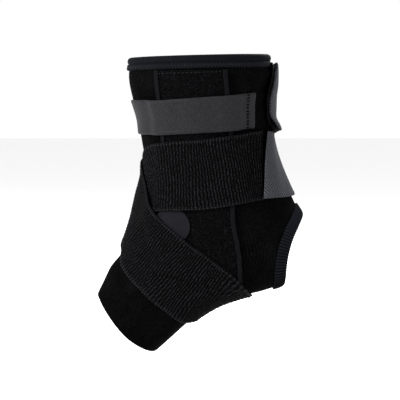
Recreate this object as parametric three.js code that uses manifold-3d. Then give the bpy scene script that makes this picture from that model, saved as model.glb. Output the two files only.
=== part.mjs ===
// Ankle brace: a knitted sleeve for a right foot with side pockets and a figure-of-eight strap pair.
// Millimetres, +Z up, toes towards -X, the inner side of the foot towards -Y.
// The origin is the middle of the ankle, on the axis of the leg.
import * as THREE from "three";
import { mergeVertices } from "three/addons/utils/BufferGeometryUtils.js";
import Module from "manifold-3d";

const wasm = await Module();
wasm.setup();

// Leg and foot that the sleeve follows, over its outer face
const CUFF_HEIGHT = 119; // top rim above the ankle
const LEG_DEPTH = 98; // front to back at the calf
const LEG_WIDTH = 88; // side to side at the calf
const FOOT_REACH = 77; // toe opening in front of the ankle
const FOOT_DROP = 90; // toe opening below the ankle
const HEEL_REACH = 83.5; // heel behind the ankle
const FOOT_WIDTH = 80; // side to side at the instep

// Cloth, tape and strap sizes
const SLEEVE_WALL = 3;
const SEAM_GAP = 0.3; // clearance between two sewn layers
const TOE_BOW = 6.5; // forward bow of the toe rim on both sides
const BINDING_THICKNESS = 1.2;
const TOP_BINDING_HEIGHT = 8.5;
const HEEL_BINDING_WIDTH = 7.5;
const POCKET_WIDTH = 50;
const POCKET_THICKNESS = 1.3;
const POCKET_SLANT = 4; // lean of its lower end, which reaches further down at the rear
const TAPE_WIDTH = 3;
const TAPE_THICKNESS = 0.6;
const DISC_DIAMETER = 25;
const DISC_THICKNESS = 1;
const CUFF_STRAP_WIDTH = 25;
const CUFF_STRAP_THICKNESS = 1.2;
const ELASTIC_WIDTH = 49;
const WEBBING_WIDTH = 49;
const ELASTIC_THICKNESS = 1.3;
const WEBBING_THICKNESS = 1.2;
const HOOK_THICKNESS = 1;
const HOOK_MARGIN = 2.5; // webbing left bare round a hook pad
const TAB_STAND_OFF = 1; // slack under the raised tab at its free end
const CORNER_CURL = 2.5; // lift of that tab's free corners
const SEAM_SLANT = 4.5; // lean of the seam between elastic and webbing
const TAB_ROUND = 6; // how far those corners are cut back

// Mesh steps
const SLEEVE_TURNS = 36;
const SLEEVE_RINGS = 24;
const LAY_STEP = 6.5; // along a strap
const LAY_ACROSS = 7; // cells across a wide strap
const NARROW_ACROSS = 4; // cells across a narrow one
const DISC_CELLS = 10;
const HEEL_EDGE_STEPS = 14;
const WALK_STEP = 3;

const FRONT_POWER = 2.1; // of the front half's oval, where 2 is an ellipse

// Leg sections, top to ankle: height as a share of CUFF_HEIGHT, depths as shares of LEG_DEPTH,
// width as a share of LEG_WIDTH, place of the widest line, and the power of the rear half's oval.
const LEG_SECTIONS = [
  { up: 1.0, rise: 0.025, front: 0.541, back: 0.459, width: 1.0, widest: 0.5, power: 2.2 },
  { up: 0.893, rise: 0.022, front: 0.555, back: 0.471, width: 1.0, widest: 0.5, power: 2.2 },
  { up: 0.76, rise: 0.018, front: 0.516, back: 0.469, width: 0.965, widest: 0.5, power: 2.15 },
  { up: 0.645, rise: 0.014, front: 0.484, back: 0.469, width: 0.92, widest: 0.5, power: 2.1 },
  { up: 0.545, rise: 0.01, front: 0.468, back: 0.473, width: 0.885, widest: 0.49, power: 2.0 },
  { up: 0.43, rise: 0.005, front: 0.443, back: 0.504, width: 0.87, widest: 0.47, power: 1.95 },
  { up: 0.314, rise: 0, front: 0.428, back: 0.557, width: 0.89, widest: 0.45, power: 1.95 },
  { up: 0.19, rise: 0, front: 0.448, back: 0.624, width: 0.925, widest: 0.43, power: 2.0 },
  { up: 0.1, rise: 0, front: 0.47, back: 0.679, width: 0.94, widest: 0.42, power: 2.05 },
];

// Foot sections, ankle to toe opening: forward and backward reaches as shares of FOOT_REACH and
// HEEL_REACH, heights of the upper and sole points as shares of FOOT_DROP, then as above.
const FOOT_SECTIONS = [
  { front: -0.645, top: 0.0, back: 0.862, sole: 0.055, width: 1.03, widest: 0.42, power: 2.1 },
  { front: -0.697, top: -0.12, back: 0.94, sole: -0.055, width: 1.02, widest: 0.42, power: 2.15 },
  { front: -0.747, top: -0.2, back: 1.0, sole: -0.2, width: 1.0, widest: 0.42, power: 2.2 },
  { front: -0.797, top: -0.25, back: 0.934, sole: -0.345, width: 0.985, widest: 0.43, power: 2.3 },
  { front: -0.848, top: -0.298, back: 0.733, sole: -0.428, width: 0.975, widest: 0.46, power: 2.5 },
  { front: -0.888, top: -0.344, back: 0.527, sole: -0.478, width: 0.965, widest: 0.5, power: 2.7 },
  { front: -0.921, top: -0.402, back: 0.302, sole: -0.525, width: 0.96, widest: 0.54, power: 2.8 },
  { front: -0.951, top: -0.456, back: 0.078, sole: -0.612, width: 0.965, widest: 0.57, power: 2.9 },
  { front: -0.977, top: -0.502, back: -0.149, sole: -0.757, width: 0.985, widest: 0.59, power: 3.0 },
  { front: -1.0, top: -0.544, back: -0.418, sole: -0.965, width: 1.01, widest: 0.6, power: 3.0 },
];

// Edge of the heel opening in the side view, top to bottom, as shares of HEEL_REACH and FOOT_DROP
const HEEL_EDGE = [
  { back: 0.87, up: 0.17 },
  { back: 0.82, up: 0.085 },
  { back: 0.775, up: 0.01 },
  { back: 0.727, up: -0.08 },
  { back: 0.694, up: -0.175 },
  { back: 0.675, up: -0.272 },
  { back: 0.667, up: -0.367 },
  { back: 0.662, up: -0.45 },
  { back: 0.655, up: -0.6 },
];

// Centre lines on the sleeve. A station counts the sections above from the top rim (0) to the toe
// opening (18). A turn goes round the leg: 0 front, 90 inner side, 180 back, below 0 outer side.
const POCKET_PATH = [
  { turn: 83, station: 0.75 },
  { turn: 83, station: 2.5 },
  { turn: 83, station: 4.3 },
  { turn: 83.4, station: 7.6 },
  { turn: 86, station: 10.1 },
  { turn: 91, station: 11.95 },
  { turn: 98, station: 13.3 },
];
const CUFF_STRAP_PATH = [
  { turn: 136, station: 2.64 },
  { turn: 96, station: 2.79 },
  { turn: 72, station: 2.86 },
  { turn: 50, station: 2.9 },
  { turn: 22, station: 2.9 },
  { turn: -10, station: 2.88 },
  { turn: -40, station: 2.85 },
  { turn: -62, station: 2.8 },
];
const STRAP_A_PATH = [
  { turn: 139, station: 5.53 },
  { turn: 128, station: 5.57 },
  { turn: 118, station: 5.65 },
  { turn: 101, station: 5.8 },
  { turn: 86, station: 5.95 },
  { turn: 70, station: 6.05 },
  { turn: 54, station: 6.2 },
  { turn: 34, station: 6.4 },
  { turn: 14, station: 7.1 },
  { turn: 0, station: 7.7 },
  { turn: -17, station: 8.6 },
  { turn: -46, station: 10.55 },
  { turn: -67, station: 12.4 },
  { turn: -88, station: 13.9 },
  { turn: -108, station: 14.9 },
  { turn: -135, station: 15.55 },
  { turn: -160, station: 15.8 },
  { turn: -180, station: 15.8 },
];
const STRAP_B_PATH = [
  { turn: 180, station: 15.8 },
  { turn: 160, station: 15.8 },
  { turn: 135, station: 15.55 },
  { turn: 108, station: 14.9 },
  { turn: 88, station: 13.9 },
  { turn: 67, station: 12.4 },
  { turn: 46, station: 10.55 },
  { turn: 17, station: 8.6 },
  { turn: 0, station: 7.7 },
  { turn: -14, station: 7.05 },
  { turn: -34, station: 6.45 },
  { turn: -54, station: 5.95 },
  { turn: -72, station: 5.3 },
  { turn: -92, station: 4.45 },
  { turn: -112, station: 3.5 },
  { turn: -128, station: 2.95 },
];
const TAB_A_PATH = [
  { turn: 139, station: 5.53 },
  { turn: 160, station: 5.57 },
  { turn: 183, station: 5.58 },
  { turn: 200, station: 5.5 },
];
const TAB_B_PATH = [
  { turn: -128, station: 2.95 },
  { turn: -148, station: 2.4 },
  { turn: -166, station: 2.14 },
  { turn: -180, station: 2.05 },
  { turn: -198, station: 2.0 },
];
const DISC_SPOT = { turn: 64, station: 8.85 };

const COLOURS = {
  sleeve: { color: "#141416", roughness: 0.95 },
  binding: { color: "#1b1c22", roughness: 0.85 },
  pocket: { color: "#161618", roughness: 1.0 },
  tape: { color: "#2c2d31", roughness: 0.8 },
  disc: { color: "#2a292e", roughness: 0.7 },
  cuffStrap: { color: "#3d3d42", roughness: 0.75 },
  elastic: { color: "#17171a", roughness: 0.7 },
  webbing: { color: "#55565b", roughness: 0.85 },
  hook: { color: "#101012", roughness: 0.9 },
};

const radians = THREE.MathUtils.degToRad;

// Every section as the two ends of its depth line with its half width
const sections = [
  ...LEG_SECTIONS.map((row) => ({
    ...row,
    frontX: -row.front * LEG_DEPTH,
    frontZ: row.up * CUFF_HEIGHT,
    backX: row.back * LEG_DEPTH,
    backZ: row.up * CUFF_HEIGHT + row.rise * LEG_DEPTH,
    half: (row.width * LEG_WIDTH) / 2,
  })),
  ...FOOT_SECTIONS.map((row) => ({
    ...row,
    frontX: row.front * FOOT_REACH,
    frontZ: row.top * FOOT_DROP,
    backX: row.back * (row.back < 0 ? FOOT_REACH : HEEL_REACH),
    backZ: row.sole * FOOT_DROP,
    half: (row.width * FOOT_WIDTH) / 2,
  })),
];
const TOE_STATION = sections.length - 1;

// A column of a table at a place between its rows, on a smooth curve through them
function columnAt(table, column, place) {
  const last = table.length - 1;
  const row = Math.min(Math.max(Math.floor(place), 0), last - 1);
  const value = (k) => {
    if (k < 0) return 2 * table[0][column] - table[1][column];
    if (k > last) return 2 * table[last][column] - table[last - 1][column];
    return table[k][column];
  };
  const [a, b, c, d] = [value(row - 1), value(row), value(row + 1), value(row + 2)];
  const t = place - row;
  return b + 0.5 * t * (c - a + t * (2 * a - 5 * b + 4 * c - d + t * (3 * (b - c) + d - a)));
}

// The point of the sleeve's outer face at a station and a turn in radians
function skin(station, turn) {
  const column = (name) => columnAt(sections, name, station);
  const [c, s] = [Math.cos(turn), Math.sin(turn)];
  const power = c >= 0 ? FRONT_POWER : column("power");
  const reach = (Math.abs(c) ** power + Math.abs(s) ** power) ** (-1 / power);
  const widest = column("widest");
  const share = widest - (c >= 0 ? widest : 1 - widest) * reach * c;
  const [frontX, frontZ] = [column("frontX"), column("frontZ")];
  return new THREE.Vector3(
    frontX + (column("backX") - frontX) * share,
    -column("half") * reach * s,
    frontZ + (column("backZ") - frontZ) * share,
  );
}

// The two tangents and the outward normal there
function tangents(station, turn) {
  const step = 0.01;
  const down = skin(station + step, turn).sub(skin(station - step, turn)).divideScalar(2 * step);
  const round = skin(station, turn + step).sub(skin(station, turn - step)).divideScalar(2 * step);
  return { down, round, normal: new THREE.Vector3().crossVectors(down, round).normalize() };
}

function raised(spot, lift) {
  const { normal } = tangents(spot.station, spot.turn);
  return skin(spot.station, spot.turn).addScaledVector(normal, lift);
}

// A spot a distance away over the sleeve, on the straightest line
function walk(start, direction, distance) {
  const steps = Math.max(1, Math.ceil(Math.abs(distance) / WALK_STEP));
  let { station, turn } = start;
  const heading = direction.clone();
  for (let k = 0; k < steps; k++) {
    const { down, round, normal } = tangents(station, turn);
    heading.addScaledVector(normal, -heading.dot(normal)).normalize();
    const [e, f, g] = [down.dot(down), down.dot(round), round.dot(round)];
    const [p, q] = [down.dot(heading), round.dot(heading)];
    const size = distance / steps / (e * g - f * f);
    station += (g * p - f * q) * size;
    turn += (e * q - f * p) * size;
  }
  return { station, turn };
}

// Spots at even steps along a path, each with its heading
function pathSpots(path, step) {
  const rows = path.map((row) => ({ station: row.station, turn: radians(row.turn) }));
  const fine = [];
  const count = (rows.length - 1) * 12;
  for (let k = 0; k <= count; k++) {
    const place = (k / count) * (rows.length - 1);
    const spot = { station: columnAt(rows, "station", place), turn: columnAt(rows, "turn", place) };
    fine.push({ ...spot, point: skin(spot.station, spot.turn), at: 0 });
    if (k > 0) fine[k].at = fine[k - 1].at + fine[k].point.distanceTo(fine[k - 1].point);
  }
  const length = fine[count].at;
  const cells = Math.max(2, Math.round(length / step));
  const spots = [];
  let k = 0;
  for (let i = 0; i <= cells; i++) {
    const at = (length * i) / cells;
    while (k < count - 1 && fine[k + 1].at < at) k++;
    const [from, to] = [fine[k], fine[k + 1]];
    const share = (at - from.at) / (to.at - from.at);
    const lerp = (name) => from[name] + (to[name] - from[name]) * share;
    const heading = to.point.clone().sub(from.point).normalize();
    spots.push({ station: lerp("station"), turn: lerp("turn"), heading, at });
  }
  return spots;
}

// A grid of spots that covers a strip beside a path, from one side distance to another. Its ends can
// be cut back, and the last one rounded.
function strip(path, from, to, options = {}) {
  const { across = LAY_ACROSS, startCut = 0, endCut = 0, startSlant = 0, endSlant = 0, endRound = 0 } = options;
  const spots = pathSpots(path, LAY_STEP);
  const last = spots.length - 1;
  return spots.map((spot, i) => {
    const { normal } = tangents(spot.station, spot.turn);
    const aside = new THREE.Vector3().crossVectors(normal, spot.heading);
    const cells = Array.from({ length: across + 1 }, (_, j) => from + ((to - from) * j) / across);
    return cells.map((distance) => {
      const side = (2 * distance) / (Math.abs(to) + Math.abs(from));
      const round = endRound * side ** 2;
      const start = startCut + startSlant * side;
      const end = endSlant * side - endCut - round;
      const back = { 0: start, 1: start / 2, [last - 1]: end / 2, [last]: end }[i] || 0;
      const place = walk(spot, aside, distance);
      return back ? walk(place, spot.heading, back) : place;
    });
  });
}

// The height above the sleeve that the layers laid so far reach, in small patches of it
const PATCH_STATIONS = 0.1;
const PATCH_TURN = radians(2);
const CELL_LOOKS = 6;
const ROUND_PATCHES = Math.round((2 * Math.PI) / PATCH_TURN);
const laidTops = new Map();

function patchKey(spot, i = 0, j = 0) {
  const round = Math.round(spot.turn / PATCH_TURN) + j + 2 * ROUND_PATCHES;
  return `${Math.round(spot.station / PATCH_STATIONS) + i} ${round % ROUND_PATCHES}`;
}

function markTop(spot, height) {
  const key = patchKey(spot);
  laidTops.set(key, Math.max(height, laidTops.get(key) || 0));
}

function topNear(spot) {
  let most = 0;
  for (let i = -1; i <= 1; i++) {
    for (let j = -1; j <= 1; j++) most = Math.max(most, laidTops.get(patchKey(spot, i, j)) || 0);
  }
  return most;
}

// Calls a function with spots all over one cell of a grid and their weights at its corners
function overCell(grid, i, j, visit) {
  for (let a = 0; a <= CELL_LOOKS; a++) {
    for (let b = 0; b <= CELL_LOOKS; b++) {
      const [u, v] = [a / CELL_LOOKS, b / CELL_LOOKS];
      const weights = [(1 - u) * (1 - v), u * (1 - v), (1 - u) * v, u * v];
      const corners = [grid[i][j], grid[i + 1][j], grid[i][j + 1], grid[i + 1][j + 1]];
      const mix = (name) => corners.reduce((sum, corner, k) => sum + weights[k] * corner[name], 0);
      visit({ station: mix("station"), turn: mix("turn") }, weights);
    }
  }
}

function markLayer(grid, heights, thickness) {
  for (let i = 0; i < grid.length - 1; i++) {
    for (let j = 0; j < grid[0].length - 1; j++) {
      const tops = [heights[i][j], heights[i + 1][j], heights[i][j + 1], heights[i + 1][j + 1]];
      overCell(grid, i, j, (spot, weights) => {
        const height = weights.reduce((sum, weight, k) => sum + weight * tops[k], 0);
        markTop(spot, height + thickness);
      });
    }
  }
}

// The heights at which a new layer clears what is laid under its cells
function heightOver(grid) {
  const found = grid.map((row) => row.map(() => 0));
  for (let i = 0; i < grid.length - 1; i++) {
    for (let j = 0; j < grid[0].length - 1; j++) {
      overCell(grid, i, j, (spot) => {
        const height = topNear(spot);
        for (const [a, b] of [[i, j], [i + 1, j], [i, j + 1], [i + 1, j + 1]]) {
          found[a][b] = Math.max(found[a][b], height);
        }
      });
    }
  }
  return found.map((row, i) => row.map((value, j) => {
    const near = [-1, 0, 1].flatMap((a) => [-1, 0, 1].map((b) => (found[i + a] || [])[j + b]));
    const most = Math.max(...near.filter((height) => height !== undefined));
    return (value + most) / 2 + SEAM_GAP + chordSag(grid, i, j);
  }));
}

// How far the flat cells round a spot of a grid cut below the curved sleeve
function chordSag(grid, i, j) {
  const point = (a, b) => skin(grid[a][b].station, grid[a][b].turn);
  const [a, b] = [Math.min(Math.max(i, 1), grid.length - 2), Math.min(Math.max(j, 1), grid[0].length - 2)];
  const bend = (before, after) => {
    return before.add(after).multiplyScalar(0.5).distanceTo(point(a, Math.max(b, 0))) / 2.4;
  };
  const along = bend(point(a - 1, Math.max(b, 0)), point(a + 1, Math.max(b, 0)));
  return b < 1 ? along : along + bend(point(a, b - 1), point(a, b + 1));
}

// A closed geometry from points and triangles, turned the right way out
function closed(points, triangles) {
  const volume = triangles.reduce((sum, [a, b, c]) => {
    return sum + points[a].dot(new THREE.Vector3().crossVectors(points[b], points[c]));
  }, 0);
  const index = triangles.flatMap(([a, b, c]) => (volume < 0 ? [a, c, b] : [a, b, c]));
  const geometry = new THREE.BufferGeometry().setFromPoints(points);
  geometry.setIndex(index);
  return geometry;
}

// A grid of points closed into a ring of cells, as sections that follow each other
function skinOf(rings, loopRings) {
  const [count, size] = [rings.length, rings[0].length];
  const triangles = [];
  const cell = (a, b, c, d) => triangles.push([a, b, c], [a, c, d]);
  for (let i = 0; i < (loopRings ? count : count - 1); i++) {
    const next = (i + 1) % count;
    for (let j = 0; j < size; j++) {
      const k = (j + 1) % size;
      cell(i * size + j, next * size + j, next * size + k, i * size + k);
    }
  }
  if (!loopRings) {
    for (let j = 1; j < size / 2; j++) {
      const ends = [0, (count - 1) * size];
      const [front, back] = [size - j, size - j - 1];
      if (back <= j) {
        triangles.push([ends[0] + j - 1, ends[0] + j, ends[0] + front % size]);
        triangles.push([ends[1] + j - 1, ends[1] + front % size, ends[1] + j]);
      } else {
        cell(ends[0] + j - 1, ends[0] + j, ends[0] + back, ends[0] + front % size);
        cell(ends[1] + front % size, ends[1] + back, ends[1] + j, ends[1] + j - 1);
      }
    }
  }
  return closed(rings.flat(), triangles);
}

// A cloth layer over a grid of spots, from a height above the sleeve up by its thickness
function layer(grid, heights, thickness) {
  markLayer(grid, heights, thickness);
  return skinOf(grid.map((row, i) => {
    const low = row.map((spot, j) => raised(spot, heights[i][j]));
    const high = row.map((spot, j) => raised(spot, heights[i][j] + thickness));
    return [...low, ...high.reverse()];
  }), false);
}

// manifold-3d solids of closed geometries, and back
function solid(geometry) {
  const bare = geometry.clone();
  bare.deleteAttribute("normal");
  bare.deleteAttribute("uv");
  const merged = mergeVertices(bare, 1e-4);
  return new wasm.Manifold(new wasm.Mesh({
    numProp: 3,
    vertProperties: new Float32Array(merged.attributes.position.array),
    triVerts: new Uint32Array(merged.index.array),
  }));
}

function geometryOf(made) {
  const mesh = made.getMesh();
  const points = new Float32Array(mesh.numVert * 3);
  for (let i = 0; i < mesh.numVert; i++) {
    points.set(mesh.vertProperties.subarray(i * mesh.numProp, i * mesh.numProp + 3), i * 3);
  }
  const geometry = new THREE.BufferGeometry();
  geometry.setAttribute("position", new THREE.BufferAttribute(points, 3));
  geometry.setIndex(new THREE.BufferAttribute(new Uint32Array(mesh.triVerts), 1));
  return geometry;
}

// The toe rim's station bows forward on both sides
const toeSpacing = skin(TOE_STATION, Math.PI / 2).distanceTo(skin(TOE_STATION - 1, Math.PI / 2));
const toeRim = (turn) => TOE_STATION + (TOE_BOW / toeSpacing) * Math.sin(turn) ** 2;

// A tube wall between two heights over the whole sleeve
function wall(outer, inner) {
  const rings = [];
  for (let i = 0; i < SLEEVE_TURNS; i++) {
    const turn = (2 * Math.PI * i) / SLEEVE_TURNS;
    const spots = Array.from({ length: SLEEVE_RINGS + 1 }, (_, j) => ({
      station: (toeRim(turn) * j) / SLEEVE_RINGS,
      turn,
    }));
    rings.push([
      ...spots.map((spot) => raised(spot, outer)),
      ...spots.map((spot) => raised(spot, inner)).reverse(),
    ]);
  }
  return skinOf(rings, true);
}

// A prism across the whole brace with an outline in the side view
function sidePrism(outline) {
  const depth = 2 * Math.max(LEG_WIDTH, FOOT_WIDTH);
  const shape = new THREE.Shape(outline);
  const prism = new THREE.ExtrudeGeometry(shape, { depth, bevelEnabled: false });
  return prism.rotateX(Math.PI / 2).translate(0, depth / 2, 0);
}

// The heel opening's edge moved into the sleeve by a distance
function heelEdge(inset) {
  const curve = new THREE.SplineCurve(HEEL_EDGE.map((row) => {
    return new THREE.Vector2(row.back * HEEL_REACH, row.up * FOOT_DROP);
  }));
  return Array.from({ length: HEEL_EDGE_STEPS + 1 }, (_, k) => {
    const place = k / HEEL_EDGE_STEPS;
    const tangent = curve.getTangent(place);
    return curve.getPoint(place).add(new THREE.Vector2(tangent.y, -tangent.x).multiplyScalar(inset));
  });
}

function heelPrism(inset) {
  const edge = heelEdge(inset);
  const far = 2 * HEEL_REACH;
  const [top, bottom] = [edge[0], edge[edge.length - 1]];
  return sidePrism([...edge, new THREE.Vector2(far, bottom.y), new THREE.Vector2(far, top.y)]);
}

function sleeve() {
  return geometryOf(solid(wall(0, -SLEEVE_WALL)).subtract(solid(heelPrism(0))));
}

// A tape folded over the heel opening's edge
function heelBinding() {
  const [outer, inner] = [SEAM_GAP + BINDING_THICKNESS, -SLEEVE_WALL - SEAM_GAP - BINDING_THICKNESS];
  const band = solid(heelPrism(HEEL_BINDING_WIDTH)).subtract(solid(heelPrism(-SEAM_GAP - BINDING_THICKNESS)));
  const clear = solid(wall(SEAM_GAP, -SLEEVE_WALL - SEAM_GAP)).subtract(solid(heelPrism(-SEAM_GAP)));
  return geometryOf(solid(wall(outer, inner)).intersect(band).subtract(clear));
}

// A tape folded over the top rim
function topBinding() {
  const [near, far] = [SEAM_GAP, SEAM_GAP + BINDING_THICKNESS];
  const profile = [
    { down: TOP_BINDING_HEIGHT, out: near },
    { down: TOP_BINDING_HEIGHT, out: far },
    { down: -near, out: far },
    { down: -far, out: near },
    { down: -far, out: -SLEEVE_WALL - near },
    { down: -near, out: -SLEEVE_WALL - far },
    { down: TOP_BINDING_HEIGHT, out: -SLEEVE_WALL - far },
    { down: TOP_BINDING_HEIGHT, out: -SLEEVE_WALL - near },
    { down: -near, out: -SLEEVE_WALL - near },
    { down: -near, out: near },
  ];
  const rings = [];
  for (let i = 0; i < SLEEVE_TURNS; i++) {
    const turn = (2 * Math.PI * i) / SLEEVE_TURNS;
    const spacing = skin(1, turn).distanceTo(skin(0, turn));
    rings.push(profile.map((row) => raised({ station: row.down / spacing, turn }, row.out)));
  }
  return skinOf(rings, true);
}

const mirrored = (path) => path.map((row) => ({ ...row, turn: -row.turn }));

function pocket(path, rear) {
  const grid = strip(path, -POCKET_WIDTH / 2, POCKET_WIDTH / 2, { endSlant: POCKET_SLANT * rear });
  return layer(grid, heightOver(grid), POCKET_THICKNESS);
}

function pocketTape(path, side, rear) {
  const outer = (side * POCKET_WIDTH) / 2;
  const options = { across: 1, endSlant: POCKET_SLANT * rear };
  const grid = strip(path, outer, outer - side * TAPE_WIDTH, options);
  return layer(grid, heightOver(grid), TAPE_THICKNESS);
}

function disc() {
  const centre = { station: DISC_SPOT.station, turn: radians(DISC_SPOT.turn) };
  const { down, normal } = tangents(centre.station, centre.turn);
  const along = down.clone().normalize();
  const across = new THREE.Vector3().crossVectors(normal, along);
  const radius = DISC_DIAMETER / 2;
  const grid = Array.from({ length: DISC_CELLS + 1 }, (_, i) => {
    const angle = (Math.PI * (i + 0.5)) / (DISC_CELLS + 1);
    const middle = walk(centre, along, -Math.cos(angle) * radius);
    const row = Array.from({ length: LAY_ACROSS }, (_, j) => (2 * j) / (LAY_ACROSS - 1) - 1);
    return row.map((side) => walk(middle, across, side * Math.sin(angle) * radius));
  });
  return layer(grid, heightOver(grid), DISC_THICKNESS);
}

function cuffStrap() {
  const grid = strip(CUFF_STRAP_PATH, -CUFF_STRAP_WIDTH / 2, CUFF_STRAP_WIDTH / 2, { across: NARROW_ACROSS });
  return layer(grid, heightOver(grid), CUFF_STRAP_THICKNESS);
}

function elasticStrap(path, slants) {
  const cuts = { startCut: SEAM_GAP / 2, endCut: SEAM_GAP / 2, ...slants };
  const grid = strip(path, -ELASTIC_WIDTH / 2, ELASTIC_WIDTH / 2, cuts);
  return layer(grid, heightOver(grid), ELASTIC_THICKNESS);
}

// How far a strap's end stands off the sleeve, most at its two free corners
function standOff(grid, size) {
  return grid.map((row, i) => row.map((_, j) => {
    const along = (i / (grid.length - 1)) ** 2;
    const side = Math.abs((2 * j) / (row.length - 1) - 1);
    return size.off * along + size.curl * along ** 3 * side ** 3;
  }));
}

// The webbing end of a strap and the hook pad on its inner face
function addTab(name, path, size) {
  const half = WEBBING_WIDTH / 2;
  const inset = half - HOOK_MARGIN;
  const cuts = { startCut: HOOK_MARGIN, startSlant: size.slant, endCut: HOOK_MARGIN, endRound: size.round };
  const padGrid = strip(path, -inset, inset, cuts);
  const seam = { startCut: SEAM_GAP / 2, startSlant: size.slant };
  const webGrid = strip(path, -half, half, { ...seam, endRound: size.round });
  const lifted = (grid, off) => heightOver(grid).map((row, i) => row.map((height, j) => height + off[i][j]));
  const padHeights = lifted(padGrid, standOff(padGrid, size));
  const webFree = lifted(webGrid, standOff(webGrid, size));
  add(`${name}_hook`, layer(padGrid, padHeights, HOOK_THICKNESS), "hook");
  const over = heightOver(webGrid);
  const webHeights = webFree.map((row, i) => row.map((height, j) => Math.max(height, over[i][j])));
  add(`${name}_tab`, layer(webGrid, webHeights, WEBBING_THICKNESS), "webbing");
}

const colourOf = (name) => new THREE.MeshStandardMaterial({ metalness: 0, ...COLOURS[name] });
const brace = new THREE.Group();

function add(name, geometry, colour) {
  geometry.computeVertexNormals();
  const mesh = new THREE.Mesh(geometry, colourOf(colour));
  mesh.name = name;
  brace.add(mesh);
}

// From the skin outwards, so that each piece lies on those before it
add("sleeve", sleeve(), "sleeve");
add("top_binding", topBinding(), "binding");
add("heel_binding", heelBinding(), "binding");
for (const [side, path] of [["medial", POCKET_PATH], ["lateral", mirrored(POCKET_PATH)]]) {
  const [front, rear] = side === "medial" ? [-1, 1] : [1, -1];
  add(`${side}_pocket`, pocket(path, rear), "pocket");
  add(`${side}_pocket_front_tape`, pocketTape(path, front, rear), "tape");
  add(`${side}_pocket_rear_tape`, pocketTape(path, rear, rear), "tape");
}
add("medial_disc", disc(), "disc");
add("cuff_strap", cuffStrap(), "cuffStrap");
add("strap_a_elastic", elasticStrap(STRAP_A_PATH, { startSlant: SEAM_SLANT }), "elastic");
addTab("strap_a", TAB_A_PATH, { off: 0, curl: 0, round: 0, slant: SEAM_SLANT });
add("strap_b_elastic", elasticStrap(STRAP_B_PATH, { endSlant: -SEAM_SLANT }), "elastic");
const raisedEnd = { off: TAB_STAND_OFF, curl: CORNER_CURL, round: TAB_ROUND, slant: -SEAM_SLANT };
addTab("strap_b", TAB_B_PATH, raisedEnd);

export default brace;
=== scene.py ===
import math

import bmesh
import bpy
import numpy as np
from mathutils import Matrix, Vector


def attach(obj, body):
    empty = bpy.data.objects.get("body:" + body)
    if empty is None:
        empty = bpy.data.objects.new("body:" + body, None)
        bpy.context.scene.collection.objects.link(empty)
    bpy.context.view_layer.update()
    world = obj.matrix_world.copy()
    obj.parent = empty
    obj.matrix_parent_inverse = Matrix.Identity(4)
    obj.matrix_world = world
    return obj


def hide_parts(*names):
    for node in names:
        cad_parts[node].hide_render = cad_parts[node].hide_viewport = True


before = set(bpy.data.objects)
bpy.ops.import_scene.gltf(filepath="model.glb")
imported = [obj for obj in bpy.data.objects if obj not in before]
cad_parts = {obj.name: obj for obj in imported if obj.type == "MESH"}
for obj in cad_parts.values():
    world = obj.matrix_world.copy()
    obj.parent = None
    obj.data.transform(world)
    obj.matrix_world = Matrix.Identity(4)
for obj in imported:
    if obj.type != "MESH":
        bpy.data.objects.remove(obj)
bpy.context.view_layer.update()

# The sleeve: a black tube of 3 mm spacer knit, cut and sewn to a right foot and pulled on over it.
# It is open at the top, the toes and the heel, and its toe rim is a plain turned edge.
# Leg rows give height, rise to the rear, front, back and width as shares of the calf's sizes, then
# the widest line and the roundness of the rear half. Foot rows give the top edge's x and z, the
# bottom edge's x and z and the width as shares of the foot's sizes, then the same two.
CUFF_HEIGHT, LEG_DEPTH, LEG_WIDTH = 0.119, 0.098, 0.088
FOOT_REACH, FOOT_DROP, HEEL_REACH, FOOT_WIDTH = 0.077, 0.090, 0.0835, 0.080
LEG_ROWS = [
    (1.0, 0.025, 0.541, 0.459, 1.0, 0.5, 2.2),
    (0.893, 0.022, 0.555, 0.471, 1.0, 0.5, 2.2),
    (0.76, 0.018, 0.524, 0.469, 0.965, 0.5, 2.15),
    (0.645, 0.014, 0.484, 0.469, 0.92, 0.5, 2.1),
    (0.545, 0.01, 0.468, 0.473, 0.885, 0.49, 2.0),
    (0.43, 0.005, 0.443, 0.504, 0.87, 0.47, 1.95),
    (0.314, 0.0, 0.428, 0.557, 0.89, 0.45, 1.95),
    (0.19, 0.0, 0.464, 0.624, 0.925, 0.43, 2.0),
    (0.1, 0.0, 0.49, 0.679, 0.94, 0.42, 2.05),
]
FOOT_ROWS = [
    (-0.665, 0.0, 0.862, 0.055, 1.03, 0.42, 2.1),
    (-0.712, -0.12, 0.94, -0.055, 1.02, 0.42, 2.15),
    (-0.76, -0.2, 1.0, -0.2, 1.0, 0.42, 2.2),
    (-0.797, -0.25, 0.934, -0.345, 0.985, 0.43, 2.3),
    (-0.848, -0.298, 0.733, -0.436, 0.975, 0.46, 2.5),
    (-0.888, -0.344, 0.527, -0.506, 0.965, 0.5, 2.7),
    (-0.921, -0.402, 0.302, -0.552, 0.96, 0.54, 2.8),
    (-0.951, -0.456, 0.078, -0.628, 0.965, 0.57, 2.9),
    (-0.977, -0.502, -0.149, -0.757, 0.985, 0.59, 3.0),
    (-1.0, -0.544, -0.418, -0.965, 1.01, 0.6, 3.0),
]
FRONT_ROUNDNESS = 2.1
SLEEVE_WALL = 0.003
TOE_BOW = 0.0065
HEEL_EDGE = [
    (0.87, 0.17), (0.82, 0.085), (0.775, 0.01), (0.727, -0.08), (0.694, -0.175),
    (0.675, -0.272), (0.667, -0.367), (0.662, -0.45), (0.655, -0.6),
]

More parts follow.
